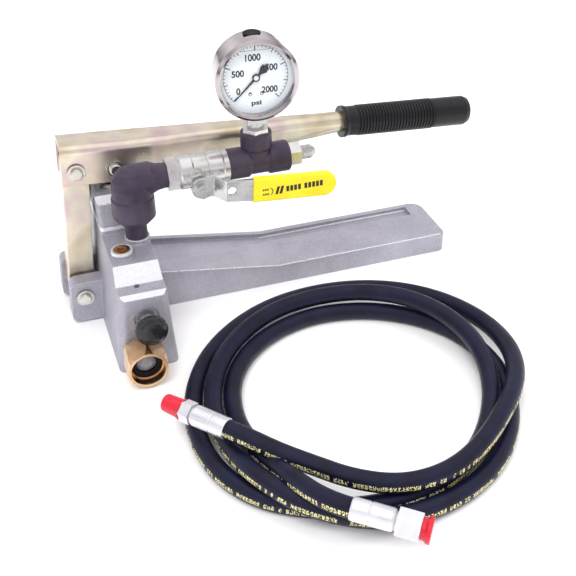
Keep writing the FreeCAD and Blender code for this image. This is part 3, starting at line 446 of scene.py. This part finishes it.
def hose_rubber():
    """Navy-black rubber with a low gloss and a row of pale printed marks."""
    g = Graph("hose_rubber")
    patches = g.spread(g.noise(55, 4))
    colour = g.blend(patches, (0.003, 0.003, 0.012), (0.007, 0.008, 0.030))
    uv = g.add("ShaderNodeSeparateXYZ")
    g.put(uv.inputs[0], g.add("ShaderNodeUVMap", uv_map="along").outputs[0])
    along, around = uv.outputs[0], uv.outputs[1]
    marks = printed_marks(g, along, around)
    colour = g.blend(marks, colour, (0.80, 0.74, 0.36))
    g.set("Base Color", colour)
    g.set("Roughness", g.spread(g.noise(140, 5), 0.34, 0.50))
    weave = g.noise(900, 3, 0.6)
    g.set("Normal", g.bump(weave, 0.03 * MM, 0.8))
    g.set("Specular IOR Level", 0.28)
    return g.material


MARK_PITCH = 2.4
MARK_HEIGHT = 3.5
MARK_WIDTH_SHARE = 0.8
MARK_COLUMNS = 4
MARK_ROWS = 5
MARK_TURN = 0.014
BLANK_DOTS = 0.40
BLANK_LETTERS = 0.14
MARK_COVER = 0.9


def printed_marks(g, along, around):
    """Blocky dots in character-sized groups, which read as print but spell nothing."""
    height = MARK_HEIGHT / (2 * math.pi * HOSE_RADIUS)
    place = g.math("DIVIDE", along, MARK_PITCH * MM)
    letter = g.math("FLOOR", place)
    inside = g.math("FRACT", place)
    column = g.math("FLOOR", g.math("MULTIPLY", inside, MARK_COLUMNS / MARK_WIDTH_SHARE))
    shifted = g.math("FRACT", g.math("ADD", around, height / 2 - MARK_TURN))
    row = g.math("FLOOR", g.math("DIVIDE", shifted, height / MARK_ROWS))
    cell = g.add("ShaderNodeCombineXYZ")
    for target, value in zip(cell.inputs, (letter, column, row)):
        g.put(target, value)
    dots = g.add("ShaderNodeTexWhiteNoise", noise_dimensions="3D")
    g.put(dots.inputs["Vector"], cell.outputs[0])
    lit = g.math("GREATER_THAN", dots.outputs["Value"], BLANK_DOTS)
    in_band = g.math("LESS_THAN", row, MARK_ROWS - 0.5)
    in_letter = g.math("LESS_THAN", inside, MARK_WIDTH_SHARE)
    word = g.add("ShaderNodeTexWhiteNoise", noise_dimensions="1D")
    g.put(word.inputs["W"], letter)
    not_space = g.math("GREATER_THAN", word.outputs["Value"], BLANK_LETTERS)
    marks = g.math("MULTIPLY", g.math("MULTIPLY", lit, in_band),
                   g.math("MULTIPLY", in_letter, not_space))
    return g.math("MULTIPLY", marks, MARK_COVER)


def hose():
    """The whole hose as one tube from ferrule to ferrule, in place of the CAD coil."""
    line = line_through(hose_route())
    made, length = tube("hose", line, HOSE_RADIUS * MM, HOSE_SIDES)
    made.data.materials.append(hose_rubber())
    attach(made, "pump_body")
    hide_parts("hose_coil")


# ---------------------------------------------------------------- gauge dial

DIAL_FACE = -7.4
PRINT_LIFT = 0.06
LIQUID_LIFT = 0.03
LIQUID_LEVEL = 20.4
LIQUID_THICK = 0.32
GAUGE_TURN = math.radians(-5)
TICK_RING = 24.5
RING_THICK = 0.36
DIAL_STOP = 135
TICK_STEPS = 40
SCREWS = ((-4.4, -13.0), (4.2, -13.0))
# Length and width of a tick, by whether it falls on a 500 and on a 250.
TICKS = {(True, True): (4.2, 0.75), (False, True): (3.0, 0.62), (False, False): (1.8, 0.42)}
# Text, centre across, centre up, width and height.
NUMERALS = (("0", -13.4, -9.8, 3.2, 5.4), ("500", -13.2, 3.8, 9.4, 5.4),
            ("1000", -1.6, 15.2, 11.6, 5.6), ("1500", 10.9, 6.6, 11.6, 5.4),
            ("2000", 10.3, -10.4, 12.2, 5.4), ("psi", 0.0, -20.6, 7.7, 4.8))


def gauge_frame():
    """From the dial's own frame, x right, z up and -y towards the reader, to the scene."""
    centre = Vector(joint_of["needle_turn"]["pos_m"])
    return Matrix.Translation(centre) @ Matrix.Rotation(GAUGE_TURN, 4, "Z")


def add_face(verts, faces, corners):
    """One more face over its own corners."""
    first = len(verts)
    verts += corners
    faces.append(tuple(range(first, first + len(corners))))


def tick_marks(verts, faces, face):
    """Marks every 50 psi over 270 degrees, longer at 250 and longest at 500, on a thin arc."""
    for number in range(TICK_STEPS + 1):
        angle = math.radians(DIAL_STOP * (2 * number / TICK_STEPS - 1))
        length, width = TICKS[number % 10 == 0, number % 5 == 0]
        away = Vector((math.sin(angle), 0, math.cos(angle)))
        across = Vector((away.z, 0, -away.x)) * width / 2
        outer = away * TICK_RING
        inner = away * (TICK_RING - length)
        flat = Vector((0, face, 0))
        add_face(verts, faces, [outer - across + flat, outer + across + flat,
                                inner + across + flat, inner - across + flat])
    low, high = 90 - DIAL_STOP, 90 + DIAL_STOP
    add_arc(verts, faces, (0, 0), face, (TICK_RING, TICK_RING - RING_THICK), (high, low), 90)


def add_arc(verts, faces, centre, face, reaches, ends, parts):
    """A flat arc on the dial, between two radii and two angles, in equal parts."""
    x, z = centre
    outer, inner = reaches
    start, stop = ends
    for step in range(parts):
        corners = []
        for turn, reach in ((step, outer), (step + 1, outer), (step + 1, inner), (step, inner)):
            angle = math.radians(start + (stop - start) * turn / parts)
            corners.append(Vector((x + reach * math.cos(angle), face,
                                   z + reach * math.sin(angle))))
        add_face(verts, faces, corners)


def small_rings(verts, faces, face):
    """Two small printed rings round the dial's screws."""
    for centre in SCREWS:
        add_arc(verts, faces, centre, face, (1.5, 1.0), (0, 360), 20)


def lettering(verts, faces, text, x, z, width, height, face):
    """A numeral's outline laid on the dial, fitted to its printed width and height."""
    curve = bpy.data.curves.new("numeral", "FONT")
    curve.body = text
    curve.offset = 0.036
    curve.resolution_u = 4
    holder = bpy.data.objects.new("numeral", curve)
    bpy.context.scene.collection.objects.link(holder)
    bpy.context.view_layer.update()
    seen = holder.evaluated_get(bpy.context.evaluated_depsgraph_get())
    mesh = bpy.data.meshes.new_from_object(seen)
    xs = [v.co.x for v in mesh.vertices]
    zs = [v.co.y for v in mesh.vertices]
    first = len(verts)
    for v in mesh.vertices:
        across = (v.co.x - min(xs)) / (max(xs) - min(xs)) - 0.5
        upward = (v.co.y - min(zs)) / (max(zs) - min(zs)) - 0.5
        verts.append(Vector((x + across * width, face, z + upward * height)))
    faces += [tuple(first + i for i in polygon.vertices) for polygon in mesh.polygons]
    bpy.data.objects.remove(holder)
    bpy.data.meshes.remove(mesh)


def piece(name, verts, faces, place, material, body):
    """A mesh piece from millimetre points in its own frame, riding one body."""
    mesh = bpy.data.meshes.new(name)
    mesh.from_pydata([tuple(place @ (Vector(v) * MM)) for v in verts], [], faces)
    made = bpy.data.objects.new(name, mesh)
    bpy.context.scene.collection.objects.link(made)
    mesh.materials.append(material)
    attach(made, body)
    return made


def print_ink(name, colour):
    """Thin printed ink, slightly uneven in tone."""
    g = Graph(name)
    deep = tuple(0.6 * part for part in colour)
    g.set("Base Color", g.blend(g.noise(500, 3), deep, colour))
    g.set("Roughness", g.spread(g.noise(300), 0.4, 0.55))
    return g.material


def dial_print():
    """Ticks, arc, numerals and screw rings in one dark print."""
    verts, faces = [], []
    face = DIAL_FACE - PRINT_LIFT
    tick_marks(verts, faces, face)
    small_rings(verts, faces, face)
    for text, x, z, width, height in NUMERALS:
        lettering(verts, faces, text, x, z, width, height, face)
    ink = print_ink("dial_ink", (0.012, 0.012, 0.045))
    made = piece("dial_print", verts, faces, gauge_frame(), ink, "pump_body")


def liquid_line():
    """The filling's surface near the top of the dial: a thin line that creeps up at its ends."""
    verts, faces = [], []
    face = DIAL_FACE - LIQUID_LIFT
    parts = 24
    half = math.sqrt((TICK_RING + 2.0) ** 2 - LIQUID_LEVEL ** 2)
    for step in range(parts):
        corners = []
        for side, height in ((0, 0), (1, 0), (1, LIQUID_THICK), (0, LIQUID_THICK)):
            share = 2 * (step + side) / parts - 1
            corners.append(Vector((share * half, face, LIQUID_LEVEL + height + 0.7 * share ** 6)))
        add_face(verts, faces, corners)
    ink = print_ink("liquid_edge", (0.24, 0.25, 0.36))
    made = piece("liquid_line", verts, faces, gauge_frame(), ink, "pump_body")


def lathe(profile, start, sides):
    """Points and faces of a turned shape about -y: profile pairs are radius and depth."""
    verts, faces = [], []
    for radius, depth in profile:
        for step in range(sides):
            angle = 2 * math.pi * step / sides
            verts.append(Vector((radius * math.cos(angle), start - depth,
                                 radius * math.sin(angle))))
    for row in range(len(profile) - 1):
        for step in range(sides):
            after = (step + 1) % sides
            faces.append((row * sides + step, (row + 1) * sides + step,
                          (row + 1) * sides + after, row * sides + after))
    faces.append(tuple(range(sides)))
    faces.append(tuple(range((len(profile) - 1) * sides, len(profile) * sides))[::-1])
    return verts, faces


def pointer_hub():
    """A bright cap with a dished middle on the pointer's hub."""
    place = gauge_frame()
    local = place.inverted()
    front = min((local @ vertex.co).y for vertex in cad["gauge_pointer"].data.vertices) / MM
    verts, faces = lathe([(1.9, -0.1), (1.9, 0.12), (1.6, 0.25), (0.9, 0.25), (0.8, 0.12),
                          (0.5, 0.12)], front, 28)
    cap = finish_of("hub_steel", (0.62, 0.62, 0.66), (0.82, 0.82, 0.86), 0.7, (0.25, 0.35))
    made = piece("pointer_hub_cap", verts, faces, place, cap.material, "gauge_needle")


# ---------------------------------------------------------------- handle marks

def sleeve_marks():
    """Generic marks on the yellow sleeve: small blocks, an arc, two slanted bars and a row."""
    low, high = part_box("handle_sleeve")
    start, face = low[0] / MM, low[1] / MM - 0.05
    middle = (low[2] + high[2]) / 2 / MM
    verts, faces = [], []

    def block(x, z, width, height, lean=0.0):
        add_face(verts, faces, [Vector((start + x, face, middle + z)),
                                Vector((start + x + width, face, middle + z)),
                                Vector((start + x + width + lean, face, middle + z + height)),
                                Vector((start + x + lean, face, middle + z + height))])
    for z in (1.2, -2.6):
        for letter in range(3):
            block(7.5 + 1.7 * letter, z, 1.2, 1.6)
    add_arc(verts, faces, (start + 12.6, middle), face, (3.2, 2.5), (-70, 70), 10)
    for x in (17.2, 20.4):
        block(x, -3.2, 2.2, 6.4, 1.8)
    for letter in range(9):
        block(26.0 + 3.1 * letter + (2.0 if letter > 3 else 0.0), -2.3, 2.3, 4.6)
    ink = print_ink("sleeve_ink", (0.02, 0.018, 0.012))
    made = piece("sleeve_marks", verts, faces, Matrix.Identity(4), ink, "valve_lever")


# ---------------------------------------------------------------- stage

# Name, place, size and power of each soft light.
LIGHTS = (("key", (-0.5, -1.0, 1.6), 1.0, 20.0), ("fill", (1.2, -0.6, 1.1), 1.0, 7.0),
          ("back", (0.3, 1.4, 1.3), 1.2, 12.0))
LIT_POINT = (0.1, -0.1, 0.05)
# Shade of the surroundings by height: the horizon and all below it first, the top last.
SKY = ((0.0, (0.30, 0.29, 0.33, 1)), (0.28, (0.95, 0.95, 0.97, 1)),
       (0.55, (0.42, 0.38, 0.42, 1)), (0.85, (1, 1, 1, 1)))
SKY_STRENGTH = 1.25


def floor():
    """A plain pale floor of paper."""
    bpy.ops.mesh.primitive_plane_add(size=8.0, location=(0, 0, 0))
    sheet = bpy.context.object
    sheet.name = "floor"
    g = Graph("floor_paper")
    g.set("Base Color", g.blend(g.noise(6), (0.90, 0.90, 0.905), (0.92, 0.92, 0.92)))
    g.set("Roughness", 0.9)
    g.set("Specular IOR Level", 0.1)
    sheet.data.materials.append(g.material)


def lights():
    """Soft area lights that light the part and leave no square glints on its metal."""
    for name, place, size, power in LIGHTS:
        light = bpy.data.lights.new(name, "AREA")
        light.energy = power
        light.size = size
        lamp = bpy.data.objects.new(name, light)
        lamp.location = place
        aim = Vector(LIT_POINT) - Vector(place)
        lamp.rotation_euler = aim.to_track_quat("-Z", "Y").to_euler()
        lamp.visible_glossy = False
        bpy.context.scene.collection.objects.link(lamp)


def surroundings():
    """A world in bands: grey low down, bright, a darker band, and bright overhead."""
    world = bpy.data.worlds.new("studio")
    bpy.context.scene.world = world
    world.use_nodes = True
    tree = world.node_tree
    back = tree.nodes["Background"]
    direction = tree.nodes.new("ShaderNodeTexCoord")
    split = tree.nodes.new("ShaderNodeSeparateXYZ")
    ramp = tree.nodes.new("ShaderNodeValToRGB")
    tree.links.new(direction.outputs["Generated"], split.inputs[0])
    tree.links.new(split.outputs[2], ramp.inputs[0])
    tree.links.new(ramp.outputs[0], back.inputs[0])
    stops = ramp.color_ramp.elements
    for stop, (place, shade) in zip((stops[0], stops[1]), (SKY[0], SKY[-1])):
        stop.position = place
        stop.color = shade
    for place, shade in SKY[1:-1]:
        stops.new(place).color = shade
    back.inputs[1].default_value = SKY_STRENGTH


CAMERA_PLACE = (-88.3, -715.4, 490.0)
CAMERA_RIGHT = (0.94769, -0.31884, -0.01510)
CAMERA_UP = (0.19243, 0.53293, 0.82399)


def camera():
    """Above and slightly left of the front, at the picture's own angle."""
    data = bpy.data.cameras.new("camera")
    data.sensor_width = 36.0
    data.lens = 62.5
    made = bpy.data.objects.new("camera", data)
    right, up = Vector(CAMERA_RIGHT), Vector(CAMERA_UP)
    back = right.cross(up)
    turn = Matrix((right, up, back)).transposed().to_4x4()
    made.matrix_world = Matrix.Translation(Vector(CAMERA_PLACE) * MM) @ turn
    bpy.context.scene.collection.objects.link(made)
    bpy.context.scene.camera = made


camera()
hose()
dial_print()
liquid_line()
pointer_hub()
sleeve_marks()
dress(finishes())
floor()
lights()
surroundings()
bpy.context.scene.view_settings.view_transform = "Standard"
